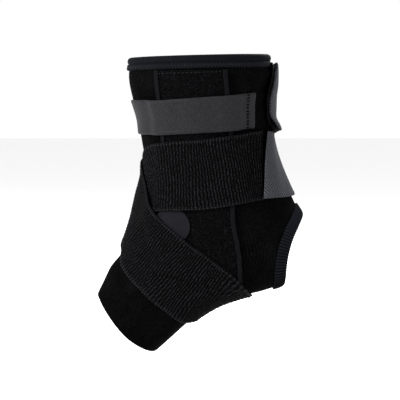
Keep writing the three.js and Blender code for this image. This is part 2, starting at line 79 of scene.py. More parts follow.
# Each section in metres: x and z of its front, x and z of its back, half width, widest, roundness.
SECTIONS = np.array([
    (
        -front * LEG_DEPTH, height * CUFF_HEIGHT, back * LEG_DEPTH, height * CUFF_HEIGHT + rise * LEG_DEPTH,
        width * LEG_WIDTH / 2, widest, roundness,
    )
    for height, rise, front, back, width, widest, roundness in LEG_ROWS
] + [
    (
        top_x * FOOT_REACH, top_z * FOOT_DROP, low_x * (FOOT_REACH if low_x < 0 else HEEL_REACH),
        low_z * FOOT_DROP, width * FOOT_WIDTH / 2, widest, roundness,
    )
    for top_x, top_z, low_x, low_z, width, widest, roundness in FOOT_ROWS
])
TOE_STATION = len(SECTIONS) - 1


def between_rows(rows, place):
    """A table's row at places between its rows, on a smooth curve through them."""
    rows = np.asarray(rows, float)
    place = np.asarray(place, float)
    row = np.clip(np.floor(place).astype(int), 0, len(rows) - 2)
    ends = np.vstack([2 * rows[:1] - rows[1:2], rows, 2 * rows[-1:] - rows[-2:-1]])
    a, b, c, d = (ends[row + k] for k in range(4))
    t = (place - row)[..., None]
    return b + 0.5 * t * (c - a + t * (2 * a - 5 * b + 4 * c - d + t * (3 * (b - c) + d - a)))


def on_foot(station, turn):
    """Points of the sleeve's outer face. Stations count the rows from the top rim, turns go round."""
    section = np.moveaxis(between_rows(SECTIONS, station), -1, 0)
    front_x, front_z, back_x, back_z, half, widest, power = section
    c, s = np.cos(turn), np.sin(turn)
    power = np.where(c >= 0, FRONT_ROUNDNESS, power)
    reach = (np.abs(c) ** power + np.abs(s) ** power) ** (-1 / power)
    share = widest - np.where(c >= 0, widest, 1 - widest) * reach * c
    x = front_x + (back_x - front_x) * share
    z = front_z + (back_z - front_z) * share
    return np.stack([x, -half * reach * s, z], -1)


def dot(a, b):
    return np.sum(a * b, -1)


def unit(v):
    return v / np.maximum(np.linalg.norm(v, axis=-1, keepdims=True), 1e-12)


def distances(points):
    """How far each point of a line lies from its first one, along the line."""
    return np.concatenate([[0], np.cumsum(np.linalg.norm(np.diff(points, axis=0), axis=-1))])


def slopes(station, turn):
    """The sleeve's two directions and its outward normal at each spot."""
    step = 0.01
    down = (on_foot(station + step, turn) - on_foot(station - step, turn)) / (2 * step)
    around = (on_foot(station, turn + step) - on_foot(station, turn - step)) / (2 * step)
    return down, around, unit(np.cross(down, around))


def lifted(station, turn, height):
    """Points at a height over the sleeve's outer face."""
    return on_foot(station, turn) + slopes(station, turn)[2] * np.asarray(height)[..., None]


def ripple(points, size, seed):
    """Slow random waves through space, about -1 to 1, with a wave of the given size in metres."""
    dice = np.random.default_rng(seed)
    total = np.zeros(points.shape[:-1])
    for _ in range(7):
        way = unit(dice.normal(size=3)) * dice.uniform(0.6, 1.6) * 2 * np.pi / size
        total += np.sin(points @ way + dice.uniform(0, 2 * np.pi))
    return total / 4


# How high the cloth laid so far stands over the sleeve, in cells of its surface. The map starts two
# stations above the top rim. A new piece widens what lies under it by WIDEN cells down and around,
# rounds its steps over SOFTEN cells, and stays LAY_GAP clear of it.
MAP_STATIONS, MAP_TURNS = 0.05, 360
WIDEN = ((0, 6), (1, 7))
SOFTEN = ((0, 3), (1, 4), (0, 3), (1, 3))
LAY_GAP = 0.0003
laid = np.zeros((round((TOE_STATION + 4) / MAP_STATIONS), MAP_TURNS))


def map_place(station, turn):
    return (station + 2) / MAP_STATIONS, (turn * MAP_TURNS / (2 * np.pi)) % MAP_TURNS


def mark_laid(station, turn, height):
    i, j = map_place(station, turn)
    i = np.clip(np.rint(i).astype(int), 0, len(laid) - 1)
    np.maximum.at(laid, (i, np.rint(j).astype(int) % MAP_TURNS), height)


def height_over(station, turn):
    """The height at which a new piece clears what lies under it, without sharp steps."""
    wide = laid
    for axis, reach in WIDEN:
        wide = np.max([np.roll(wide, k, axis) for k in range(-reach, reach + 1)], 0)
    for axis, reach in SOFTEN:
        wide = np.mean([np.roll(wide, k, axis) for k in range(-reach, reach + 1)], 0)
    i, j = map_place(station, turn)
    i = np.clip(i, 0, len(laid) - 1.001)
    a, b = np.floor(i).astype(int), np.floor(j).astype(int)
    u, v = i - a, j - b
    b, after = b % MAP_TURNS, (b + 1) % MAP_TURNS
    near = wide[a, b] * (1 - u) + wide[a + 1, b] * u
    far = wide[a, after] * (1 - u) + wide[a + 1, after] * u
    return near * (1 - v) + far * v + LAY_GAP


def placed(name, data):
    """A new object of the scene, at the origin."""
    thing = bpy.data.objects.new(name, data)
    bpy.context.scene.collection.objects.link(thing)
    return thing


def cloth_grid(name, points, along, across, closed=True):
    """A piece of cloth from a grid that is laid out at the given points, with its flat sizes as UV."""
    rows, columns = points.shape[0] - 1, points.shape[1] - 1
    bm = bmesh.new()
    bmesh.ops.create_grid(bm, x_segments=rows, y_segments=columns, size=0.5)
    mesh = bpy.data.meshes.new(name)
    bm.to_mesh(mesh)
    bm.free()
    flat = np.empty(len(mesh.vertices) * 3)
    mesh.vertices.foreach_get("co", flat)
    flat = flat.reshape(-1, 3)
    i = np.rint((flat[:, 0] + 0.5) * rows).astype(int)
    j = np.rint((flat[:, 1] + 0.5) * columns).astype(int)
    mesh.vertices.foreach_set("co", points[i, j].ravel())
    corners = np.empty(len(mesh.loops), int)
    mesh.loops.foreach_get("vertex_index", corners)
    uv = np.stack([along[i, j], across[i, j]], -1)[corners]
    mesh.uv_layers.new(name="cloth").data.foreach_set("uv", uv.ravel())
    bm = bmesh.new()
    bm.from_mesh(mesh)
    bmesh.ops.remove_doubles(bm, verts=bm.verts, dist=2e-6)
    bmesh.ops.dissolve_degenerate(bm, edges=bm.edges, dist=1e-7)
    if closed:
        bmesh.ops.holes_fill(bm, edges=[e for e in bm.edges if e.is_boundary], sides=0)
    bmesh.ops.recalc_face_normals(bm, faces=bm.faces)
    bm.to_mesh(mesh)
    bm.free()
    mesh.shade_smooth()
    return placed(name, mesh)


def linear(text):
    """An sRGB hex colour as linear numbers."""
    parts = [int(text[k:k + 2], 16) / 255 for k in (1, 3, 5)]
    return tuple(p / 12.92 if p <= 0.04045 else ((p + 0.055) / 1.055) ** 2.4 for p in parts) + (1.0,)


def node(tree, kind, *values, give=None, stops=(), **named):
    """Adds one node and gives an output. Values are numbers, colours or outputs, and capitals name inputs."""
    made = tree.nodes.new("ShaderNode" + kind)
    for key, value in named.items():
        if key[0].islower():
            setattr(made, key, value)
    by_name = ((made.inputs[key], value) for key, value in named.items() if key[0].isupper())
    for socket, value in [*zip(made.inputs, values), *by_name]:
        if isinstance(value, bpy.types.NodeSocket):
            tree.links.new(value, socket)
        else:
            socket.default_value = value
    for number, (place, hue) in enumerate(stops):
        spots = made.color_ramp.elements
        spot = spots[number] if number < len(spots) else spots.new(place)
        spot.position = place
        spot.color = linear(hue)
    return made.outputs[give] if give else next(out for out in made.outputs if out.enabled)


def cloth_material(name, roughness, sheen, sheen_tint, specular):
    """A cloth shader with its flat sizes in millimetres: tree, shader, u along and v across."""
    material = bpy.data.materials.new(name)
    material.use_nodes = True
    tree = material.node_tree
    shader = tree.nodes["Principled BSDF"]
    shader.inputs["Roughness"].default_value = roughness
    shader.inputs["Sheen Weight"].default_value = sheen
    shader.inputs["Sheen Roughness"].default_value = 0.4
    shader.inputs["Sheen Tint"].default_value = linear(sheen_tint)
    shader.inputs["Specular IOR Level"].default_value = specular
    flat = node(tree, "UVMap", uv_map="cloth")
    u = node(tree, "VectorMath", flat, (1000.0, 0.0, 0.0), operation="DOT_PRODUCT")
    v = node(tree, "VectorMath", flat, (0.0, 1000.0, 0.0), operation="DOT_PRODUCT")
    return material, tree, shader, u, v


def wave(tree, value, pitch, shift=0.0):
    """A sine from 0 to 1 across a length in millimetres."""
    turned = node(tree, "Math", value, 2 * math.pi / pitch, shift, operation="MULTIPLY_ADD")
    return node(tree, "Math", node(tree, "Math", turned, operation="SINE"), 0.5, 0.5, operation="MULTIPLY_ADD")


def grain(tree, size, detail=2.0):
    """Random noise from 0 to 1 whose spots are about the given size in millimetres."""
    return node(tree, "TexNoise", node(tree, "TexCoord", give="Object"), Scale=1000.0 / size, Detail=detail)


def finish_cloth(tree, shader, colour, height, depth):
    """Joins colour and relief to the shader; depth is the relief's height in metres."""
    tree.links.new(colour, shader.inputs["Base Color"])
    tree.links.new(node(tree, "Bump", Height=height, Distance=depth), shader.inputs["Normal"])


# Spacer knit: polyester loops a little under 1 mm apart, so the face is dead matt with a fine upright
# grain. The columns are drawn 1.4 mm apart and the courses 1.1 mm, as coarse as the render needs.
knit, tree, shader, u, v = cloth_material(
    "black_spacer_knit", roughness=0.95, sheen=0.004, sheen_tint="#8a8a90", specular=0.01,
)
columns = wave(tree, u, 1.4)
courses = wave(tree, v, 1.1)
loops = node(tree, "Math", columns, courses, operation="MULTIPLY")
relief = node(tree, "Math", loops, 0.35, grain(tree, 1.1, 3.0), operation="MULTIPLY_ADD")
patches = node(tree, "Math", grain(tree, 14.0), 0.25, operation="MULTIPLY")
shade = node(tree, "Math", relief, 0.55, patches, operation="MULTIPLY_ADD")
colour = node(tree, "ValToRGB", shade, stops=[(0.35, "#010101"), (0.7, "#0b0b0c")])
finish_cloth(tree, shader, colour, relief, depth=0.0005)

toe_spacing = np.linalg.norm(on_foot(TOE_STATION, np.pi / 2) - on_foot(TOE_STATION - 1, np.pi / 2))


def toe_rim(turn):
    """The station of the toe rim, which bows forward at both sides of the foot."""
    return TOE_STATION + TOE_BOW / toe_spacing * np.abs(np.sin(turn)) ** 1.4 * (1 + 0.5 * np.cos(turn))


# The heel opening's edge, as the x of its line at each height. Above it the line leans to the rear.
heel_line = between_rows(np.array(HEEL_EDGE) * (HEEL_REACH, FOOT_DROP), np.linspace(0, len(HEEL_EDGE) - 1, 120))
HEEL_LEAN = 0.55


def past_heel_edge(points):
    """How far points lie behind the heel opening's edge."""
    x, z = points[..., 0], points[..., 2]
    line = np.interp(z, heel_line[::-1, 1], heel_line[::-1, 0])
    return x - line - np.maximum(0, z - heel_line[0, 1]) * HEEL_LEAN


SLEEVE_ROWS, SLEEVE_COLUMNS = 165, 216
SLEEVE_RADIUS = 0.044
RIPPLE_HEIGHT, RIPPLE_SIZE, RIPPLE_SEED = 0.00022, 0.03, 3
turn = np.linspace(0, 2 * np.pi, SLEEVE_COLUMNS + 1)[None, :]
station = np.linspace(0, 1, SLEEVE_ROWS + 1)[:, None] * toe_rim(turn)
turn = np.broadcast_to(turn, station.shape)
skin = on_foot(station, turn)
folds = RIPPLE_HEIGHT * (1 + ripple(skin * (1, 1, 1.6), RIPPLE_SIZE, RIPPLE_SEED))
# One fold runs up from the end of the shin strap to the raised tab, where the tab pulls on the knit.
FOLD_HEIGHT, FOLD_WIDTH = 0.0017, 0.0021
fold_from, fold_to = np.array([0.0265, 0.0955]), np.array([0.0455, 0.1095])
beside = skin[..., ::2] - fold_from
share = np.clip(beside @ (fold_to - fold_from) / dot(fold_to - fold_from, fold_to - fold_from), 0, 1)
apart = np.linalg.norm(beside - share[..., None] * (fold_to - fold_from), axis=-1)
folds = folds + np.where(skin[..., 1] < 0, FOLD_HEIGHT * np.exp(-((apart / FOLD_WIDTH) ** 2)), 0)
mark_laid(station, turn, folds)
down_side = distances(skin[:, SLEEVE_COLUMNS // 4])
sleeve = cloth_grid(
    "sleeve_knit", lifted(station, turn, folds), turn * SLEEVE_RADIUS,
    np.broadcast_to(down_side[:, None], turn.shape), closed=False,
)
# The knit ends 1 mm before the heel opening's edge, inside the binding.
bm = bmesh.new()
bm.from_mesh(sleeve.data)
beyond = [f for f in bm.faces if past_heel_edge(np.array(f.calc_center_median())) > -0.001]
bmesh.ops.delete(bm, geom=beyond, context="FACES")
bm.to_mesh(sleeve.data)
bm.free()
sleeve.data.materials.append(knit)
wall = sleeve.modifiers.new("wall", "SOLIDIFY")
wall.thickness = SLEEVE_WALL
wall.offset = -1
rim = sleeve.modifiers.new("rim", "BEVEL")
rim.width = 0.001
rim.segments = 3
rim.limit_method = "ANGLE"
rim.angle_limit = math.radians(55)
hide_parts("sleeve")
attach(sleeve, "root")

# The top binding: a 22 mm tape folded over the rim and rolled at the top, with an overlock seam
# below the roll that holds it to the sleeve on both faces.
# Rolled tape: fine polyester drawn tight, so it has a soft dull gloss and faint ridges across.
tape_smooth, tree, shader, u, v = cloth_material(
    "rolled_binding_tape", roughness=0.75, sheen=0.008, sheen_tint="#8f95a6", specular=0.03,
)
relief = node(tree, "Math", wave(tree, u, 1.2), 0.25, grain(tree, 0.9), operation="MULTIPLY_ADD")
colour = node(tree, "ValToRGB", relief, stops=[(0.3, "#020203"), (0.9, "#0b0d12")])
finish_cloth(tree, shader, colour, relief, depth=0.0001)

# Polyester sewing thread: smooth twisted yarn, a little glossier than the cloth, so stitches glint.
thread, _, shader, _, _ = cloth_material(
    "polyester_thread", roughness=0.5, sheen=0.01, sheen_tint="#9a9aa2", specular=0.08,
)
shader.inputs["Base Color"].default_value = linear("#0c0d0f")

WALK_STEP = 0.003


def walk(station, turn, heading, distance):
    """Spots a distance away over the sleeve, on the straightest line, and their headings."""
    steps = max(1, int(np.ceil(np.max(np.abs(distance)) / WALK_STEP)))
    for _ in range(steps):
        down, around, normal = slopes(station, turn)
        heading = unit(heading - normal * dot(heading, normal)[..., None])
        e, f, g = dot(down, down), dot(down, around), dot(around, around)
        p, q = dot(down, heading), dot(around, heading)
        size = distance / steps / (e * g - f * f)
        station = station + (g * p - f * q) * size
        turn = turn + (e * q - f * p) * size
    return station, turn, heading


def round_profile(corners, radius, steps=3):
    """A closed outline of (side, height) points with its corners rounded."""
    out = []
    count = len(corners)
    for k in range(count):
        before, here, after = (np.array(corners[(k + n) % count], float) for n in (-1, 0, 1))
        cut = min(radius, 0.45 * np.linalg.norm(before - here), 0.45 * np.linalg.norm(after - here))
        a, b = here + unit(before - here) * cut, here + unit(after - here) * cut
        for n in range(steps + 1):
            t = n / steps
            out.append((1 - t) ** 2 * a + 2 * t * (1 - t) * here + t * t * b)
    return np.array(out)


def edging(name, station, turn, profile, relief):
    """A tape swept along a closed line on the sleeve: the profile's sides point away from the edge."""
    points = on_foot(station, turn)
    heading = unit(np.roll(points, -1, 0) - np.roll(points, 1, 0))
    aside = unit(np.cross(heading, slopes(station, turn)[2]))
    at = distances(np.vstack([points, points[:1]]))
    rings = []
    for side, height in profile:
        s, t, _ = walk(station, turn, aside, np.full(len(station), side))
        rings.append(lifted(s, t, height + relief(at[:-1], side, height)))
    grid = np.stack(rings, 1)
    grid = np.concatenate([grid, grid[:1]], 0)
    grid = np.concatenate([grid, grid[:, :1]], 1)
    girth = distances(np.vstack([profile, profile[:1]]))
    along = np.broadcast_to(at[:, None], grid.shape[:2])
    across = np.broadcast_to(girth[None, :], grid.shape[:2])
    return cloth_grid(name, grid, along, across)


def stitches(name, places, ways, normals, length, thick, material):
    """Thread stitches, each a long bead of a few dozen faces, lying on the cloth."""
    bm = bmesh.new()
    for place, way, normal in zip(places, ways, normals):
        side = np.cross(normal, way)
        turned = Matrix([[way[k], side[k], normal[k], place[k]] for k in range(3)] + [[0, 0, 0, 1]])
        shape = turned @ Matrix.Diagonal((length / 2, thick / 2, thick / 2.4, 1))
        bmesh.ops.create_uvsphere(bm, u_segments=6, v_segments=5, radius=1, matrix=shape)
    bmesh.ops.recalc_face_normals(bm, faces=bm.faces)
    mesh = bpy.data.meshes.new(name)
    bm.to_mesh(mesh)
    bm.free()
    mesh.shade_smooth()
    mesh.materials.append(material)
    piece = placed(name, mesh)
    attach(piece, "root")
    return piece


# The tape's section, as the side away from the rim and the height over the sleeve: down the outer
# face, over the roll and down the inner face.
TOP_STEPS = 560
ROLL = [
    (0.0085, 0.0004), (0.0085, 0.0013), (0.0048, 0.0016), (0.0042, 0.0009), (0.0036, 0.0017),
    (0.0022, 0.0021), (0.0002, 0.0018), (-0.0009, 0.0002), (-0.0009, -0.0032), (0.0002, -0.0046),
    (0.0085, -0.0044), (0.0085, -0.0033), (-0.0002, -0.0033), (-0.0002, 0.0004),
]
OVERLOCK_PITCH, OVERLOCK_HEIGHT = 0.0022, 0.00022
RIM_WAVE, RIM_WAVE_HEIGHT = 0.031, 0.00012


def overlock(at, side, height):
    """The seam's ribs of thread below the roll, and the rim's slight waviness."""
    in_seam = 1.0 if side > 0.0046 and height > 0.0012 else 0.0
    ribs = in_seam * OVERLOCK_HEIGHT * np.sin(2 * np.pi * at / OVERLOCK_PITCH)
    return ribs + RIM_WAVE_HEIGHT * np.sin(2 * np.pi * at / RIM_WAVE)


rim_turn = np.linspace(0, 2 * np.pi, TOP_STEPS, endpoint=False)
top_binding = edging("top_binding_tape", np.zeros(TOP_STEPS), rim_turn, round_profile(ROLL, 0.0005), overlock)
top_binding.data.materials.append(tape_smooth)
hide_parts("top_binding")
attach(top_binding, "root")

# The seam's zigzag: stitches 6.6 mm below the rim that lean to either side in turn.
ZIGZAG_STITCHES, ZIGZAG_DROP, ZIGZAG_LEAN = 264, 0.0066, 0.3
SEAM_HEIGHT = 0.00165
stitch = np.arange(ZIGZAG_STITCHES)
rim_turn = (stitch + 0.5) * np.pi / (ZIGZAG_STITCHES / 2)
rim_station = np.zeros(ZIGZAG_STITCHES)
down = slopes(rim_station, rim_turn)[0]
station, turn, _ = walk(rim_station, rim_turn, unit(down), np.full(ZIGZAG_STITCHES, ZIGZAG_DROP))
down, around, normal = slopes(station, turn)
lean = np.where(stitch % 2 == 0, ZIGZAG_LEAN, -ZIGZAG_LEAN)[:, None]
ways = unit(unit(down) + lean * unit(around))
seam = stitches(
    "top_seam_stitches", lifted(station, turn, SEAM_HEIGHT), ways, normal, length=0.0036, thick=0.0006,
    material=thread,
)

# The heel binding: a ribbed tape folded over the edge of the heel opening, 7.5 mm on each face.
# Its ribs run across the tape, and it is drawn tight round the heel.
# Ribbed tape: a warp-ribbed polyester weave, whose ridges 1.9 mm apart catch a dull blue-grey light.
tape_ribbed, tree, shader, u, v = cloth_material(
    "ribbed_binding_tape", roughness=0.8, sheen=0.012, sheen_tint="#8f95a6", specular=0.04,
)
fuzz = node(tree, "Math", grain(tree, 0.7), 0.4, operation="MULTIPLY")
relief = node(tree, "Math", wave(tree, u, 1.9), 0.7, fuzz, operation="MULTIPLY_ADD")
colour = node(tree, "ValToRGB", relief, stops=[(0.3, "#010102"), (0.95, "#0f1117")])
finish_cloth(tree, shader, colour, relief, depth=0.00015)

# The edge's line is found along rays from the middle of the opening, then cut into even steps.
HEEL_STEPS = 720
HEEL_MIDDLE, HEEL_STATIONS, HEEL_TURNS = 11.2, 3, 1.2
ray = np.linspace(0, 2 * np.pi, HEEL_STEPS, endpoint=False)


def heel_spot(reach):
    """Station and turn at a share of the way out along each ray."""
    return HEEL_MIDDLE + HEEL_STATIONS * reach * np.cos(ray), np.pi + HEEL_TURNS * reach * np.sin(ray)


near, far = np.zeros(HEEL_STEPS), np.full(HEEL_STEPS, 1.3)
for _ in range(40):
    middle = (near + far) / 2
    inside = past_heel_edge(on_foot(*heel_spot(middle))) > 0
    near, far = np.where(inside, middle, near), np.where(inside, far, middle)
heel_station, heel_turn = heel_spot(near)
points = on_foot(heel_station, heel_turn)
at = distances(np.vstack([points, points[:1]]))
even = np.linspace(0, at[-1], HEEL_STEPS, endpoint=False)
heel_station = np.interp(even, at, np.append(heel_station, heel_station[0]))
heel_turn = np.interp(even, at, np.append(heel_turn, heel_turn[0]))
HEM = [
    (0.0075, 0.0003), (0.0075, 0.0014), (0.004, 0.0018), (0.0005, 0.0016), (-0.0014, 0.0006), (-0.0014, -0.0035),
    (0.0005, -0.0046), (0.0075, -0.0044), (0.0075, -0.0033), (-0.0003, -0.0033), (-0.0003, 0.0003),
]
HEEL_RIB_PITCH, HEEL_RIB_HEIGHT = 0.0019, 0.00032
heel_girth = at[-1]
heel_ribs = round(heel_girth / HEEL_RIB_PITCH)


def heel_rib(at, side, height):
    """Ribs on the outer face and over the fold, none on the inner face."""
    shown = 1.0 if height > 0.0005 or side < -0.001 else 0.0
    return shown * HEEL_RIB_HEIGHT * np.cos(2 * np.pi * heel_ribs * at / heel_girth)


heel_binding = edging("heel_binding_tape", heel_station, heel_turn, round_profile(HEM, 0.0006), heel_rib)
heel_binding.data.materials.append(tape_ribbed)
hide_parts("heel_binding")
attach(heel_binding, "root")

# The side pockets: brushed loop cloth, 50 mm wide, sewn down both sides of the sleeve over the side
# stays, with a narrow tape sewn on along each edge.
# Loop cloth: hook tape grips its pile anywhere, so the face is fuzzy with light specks of looped yarn.
loop_cloth, tree, shader, u, v = cloth_material(
    "brushed_loop_cloth", roughness=1.0, sheen=0.02, sheen_tint="#8c8c94", specular=0.01,
)
pile = grain(tree, 0.9, 3.0)
specks = node(tree, "Math", grain(tree, 1.3, 1.0), 3.0, operation="POWER")
relief = node(tree, "Math", specks, 1.2, pile, operation="MULTIPLY_ADD")
light_specks = node(tree, "Math", specks, 1.2, operation="MULTIPLY")
shade = node(tree, "Math", pile, 0.6, light_specks, operation="MULTIPLY_ADD")
colour = node(tree, "ValToRGB", shade, stops=[(0.3, "#020202"), (0.6, "#070708"), (0.9, "#111114")])
finish_cloth(tree, shader, colour, relief, depth=0.0007)

# Edge tape: a narrow plain weave of polyester, flat and a touch glossier than the pile. Its wefts
# are drawn 1.3 mm apart, as coarse as the render needs.
edge_tape, tree, shader, u, v = cloth_material(
    "woven_edge_tape", roughness=0.8, sheen=0.01, sheen_tint="#a0a0aa", specular=0.04,
)
fuzz = node(tree, "Math", grain(tree, 0.9), 0.8, operation="MULTIPLY")
relief = node(tree, "Math", wave(tree, u, 1.3), 0.4, fuzz, operation="MULTIPLY_ADD")
colour = node(tree, "ValToRGB", relief, stops=[(0.2, "#020203"), (0.9, "#0a0a0d")])
finish_cloth(tree, shader, colour, relief, depth=0.00015)

# A strap's heading is evened out over EVEN_HEADING of its centre line to both sides, and a slanted
# end shifts the last END_REACH of it.
EVEN_HEADING, END_REACH = 0.006, 0.013


def path_spots(rows, cells):
    """Even steps along a centre line given as (turn in degrees, station) rows, with their headings."""
    rows = np.array(rows, float) * (math.pi / 180, 1)
    fine = between_rows(rows, np.linspace(0, len(rows) - 1, 60 * (len(rows) - 1) + 1))
    at = distances(on_foot(fine[:, 1], fine[:, 0]))
    even = np.linspace(0, at[-1], cells + 1)
    turn, station = np.interp(even, at, fine[:, 0]), np.interp(even, at, fine[:, 1])
    heading = np.gradient(on_foot(station, turn), axis=0)
    reach = max(1, round(EVEN_HEADING / (at[-1] / cells)))
    longer = np.vstack([np.repeat(heading[:1], reach, 0), heading, np.repeat(heading[-1:], reach, 0)])
    heading = unit(np.mean([longer[k:k + cells + 1] for k in range(2 * reach + 1)], 0))
    return station, turn, heading, even


def strip(rows, cells, sides, start=None, end=None):
    """Spots beside a centre line at the given side distances. start and end shift its two ends."""
    station, turn, heading, at = path_spots(rows, cells)
    aside = np.cross(slopes(station, turn)[2], heading)
    grid = np.empty((cells + 1, len(sides), 2))
    for way in (1, -1):
        spot = (station, turn, aside * way)
        last = 0.0
        chosen = [k for k in np.argsort(np.abs(sides)) if sides[k] * way > 0 or (way == 1 and sides[k] == 0)]
        for k in chosen:
            spot = walk(*spot, np.full(cells + 1, abs(sides[k]) - last))
            last = abs(sides[k])
            grid[:, k, 0], grid[:, k, 1] = spot[0], spot[1]
    share = np.asarray(sides) / np.max(np.abs(sides))
    shift = np.zeros((cells + 1, len(sides)))
    if start is not None:
        shift += start(share)[None, :] * np.clip(1 - at / END_REACH, 0, 1)[:, None]
    if end is not None:
        shift += end(share)[None, :] * np.clip(1 - (at[-1] - at) / END_REACH, 0, 1)[:, None]
    if start is not None or end is not None:
        wide = np.broadcast_to(heading[:, None, :], grid.shape[:2] + (3,))
        moved = walk(grid[..., 0], grid[..., 1], wide, shift)
        grid[..., 0], grid[..., 1] = moved[0], moved[1]
    return grid[..., 0], grid[..., 1], at


# How full a strap's round edge is from its face down to its back, as shares of its thickness. Its
# back is plain, so every fourth column of its face is enough there.
EDGE_FILL = [0.93, 0.75, 0.5, 0.25, 0.07]
BACK_STRIDE = 4


def band(name, rows, width, thickness, step, columns, relief=None, lift=None, sway=None, offset=0.0, **ends):
    """A closed strap with round edges laid over what is there already, and its top as stations, turns
    and heights. relief(at, side, length) shapes its face; lift(share, side share) raises it."""
    radius = thickness / 2
    inner = width / 2 - radius
    bend = radius * np.sin(np.radians([30, 60, 90]))
    face_sides = np.linspace(-inner, inner, columns + 1)
    sides = np.concatenate([(-inner - bend)[::-1], face_sides, inner + bend]) + offset
    length = path_spots(rows, 40)[3][-1]
    cells = round(length / step)
    station, turn, at = strip(rows, cells, sides, **ends)
    base = height_over(station, turn)
    if lift is not None:
        base = base + lift((at / at[-1])[:, None], ((sides - offset) / (width / 2))[None, :])
    first, last = len(bend), len(bend) + columns
    back = list(range(last, first - 1, -BACK_STRIDE))
    back = back if back[-1] == first else back + [first]
    far_edge = [last + 1, last + 2, last + 3, last + 2, last + 1]
    near_edge = [2, 1, 0, 1, 2]
    order = list(range(first, last + 1)) + far_edge + back + near_edge + [first]
    fill = [1.0] * (columns + 1) + EDGE_FILL + [0.0] * len(back) + EDGE_FILL[::-1] + [1.0]
    fill = np.broadcast_to(np.array(fill), (cells + 1, len(fill))).copy()
    on_top = fill > 0.99
    # The first and last rows close in, so that the strap's ends are rounded too.
    fill[[0, -1]] = 0.25 + 0.5 * fill[[0, -1]]
    shape = np.zeros(station.shape)
    if relief is not None:
        shape = shape + relief(at[:, None], (sides - offset)[None, :], at[-1])
    heights = base[:, order] + thickness * fill + np.where(on_top, shape[:, order], 0)
    points = lifted(station[:, order], turn[:, order], heights)
    girth = np.cumsum(np.abs(np.diff(sides[order])) + thickness * np.abs(np.diff(fill[1])))
    girth = np.concatenate([[0], girth])
    along = np.broadcast_to(at[:, None], points.shape[:2])
    if sway is not None:
        along = along + sway(at[:, None], (sides[order] - offset)[None, :])
    across = np.broadcast_to(girth[None, :] - inner, points.shape[:2])
    piece = cloth_grid(name, points, along, across)
    face = base + thickness + shape
    mark_laid(station, turn, face)
    return piece, (station, turn, face, at, sides)


# The pockets' centre line, as turns in degrees and stations down the leg, and their slanted foot.
POCKET_PATH = [(83, 0.75), (83, 2.5), (83, 4.3), (83.4, 7.6), (86, 10.1), (91, 11.95), (98, 13.3)]
POCKET_SLANT = 0.004
TAPE_SIDE, TAPE_PITCH = 0.0235, 0.0021
HEM_ROW, HEM_END = 0.0022, 4
STITCH_HEIGHT, TACK_HEIGHT, TACK_SPREAD = 0.0001, 0.0007, 0.0008


def pile_relief(at, side, length):
    """Shallow dimples all over, about 3 mm apart, where the pile lies unevenly."""
    return 0.00008 * np.sin(at * 2100 + 3 * np.sin(side * 500)) * np.sin(side * 1900 + 2 * np.sin(at * 400))


def tape_relief(at, side, length):
    """Shallow ridges across the tape, where each stitch pulls it in."""
    return 0.0001 * np.sin(2 * np.pi * at / TAPE_PITCH)


for name, way in (("medial", 1), ("lateral", -1)):
    rows = [(turn_row * way, station_row) for turn_row, station_row in POCKET_PATH]

    def slanted_foot(share):
        return POCKET_SLANT * share * way

    pocket, face = band(
        f"{name}_pocket_cloth", rows, width=0.050, thickness=0.0013, step=0.0009, columns=52,
        relief=pile_relief, end=slanted_foot,
    )
    pocket.data.materials.append(loop_cloth)
    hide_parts(f"{name}_pocket")
    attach(pocket, "root")
    for edge, side in (("front", -TAPE_SIDE * way), ("rear", TAPE_SIDE * way)):

        def tape_foot(share):
            return np.full_like(share, POCKET_SLANT * np.sign(side) * way)

        tape, _ = band(
            f"{name}_pocket_{edge}_tape_woven", rows, width=0.003, thickness=0.0008, step=0.0007, columns=6,
            relief=tape_relief, offset=side, end=tape_foot,
        )
        tape.data.materials.append(edge_tape)
        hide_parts(f"{name}_pocket_{edge}_tape")
        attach(tape, "root")
    # The hem at its top is sewn with one row of stitches and a bar tack at each corner.
    station, turn, top, at, sides = face
    row = int(np.argmin(np.abs(at - HEM_ROW)))
    picks = np.arange(6, len(sides) - 6, 3)
    down, _, normal = slopes(station[row, picks], turn[row, picks])
    places = lifted(station[row, picks], turn[row, picks], top[row, picks] + STITCH_HEIGHT)
    ways = unit(np.gradient(places, axis=0))
    tack = [HEM_END] * 3 + [-HEM_END - 1] * 3
    corner = lifted(station[row, tack], turn[row, tack], top[row, [HEM_END] * 6] + TACK_HEIGHT)
    corner = corner + TACK_SPREAD * np.array([-1, 0, 1, -1, 0, 1])[:, None] * unit(down[0])
    ends = [0] * 3 + [-1] * 3
    tacks = stitches(
        f"{name}_pocket_hem_stitches", np.vstack([places, corner]), np.vstack([ways, ways[ends]]),
        np.vstack([normal, normal[ends]]), length=0.0021, thick=0.0007, material=thread,
    )

# The disc: a round patch of smooth warp knit, 25 mm across, sewn on over the inner ankle bone.
# Warp knit: fine close loops, so it is the smoothest cloth here, with a faint sheen. Its wales are
# drawn 0.9 mm apart.
disc_cloth, tree, shader, u, v = cloth_material(
    "smooth_warp_knit", roughness=0.75, sheen=0.03, sheen_tint="#b4b2c2", specular=0.05,
)
relief = node(tree, "Math", wave(tree, u, 0.9), 0.15, grain(tree, 0.8), operation="MULTIPLY_ADD")
colour = node(tree, "ValToRGB", relief, stops=[(0.25, "#08080b"), (0.85, "#111015")])
finish_cloth(tree, shader, colour, relief, depth=0.00008)

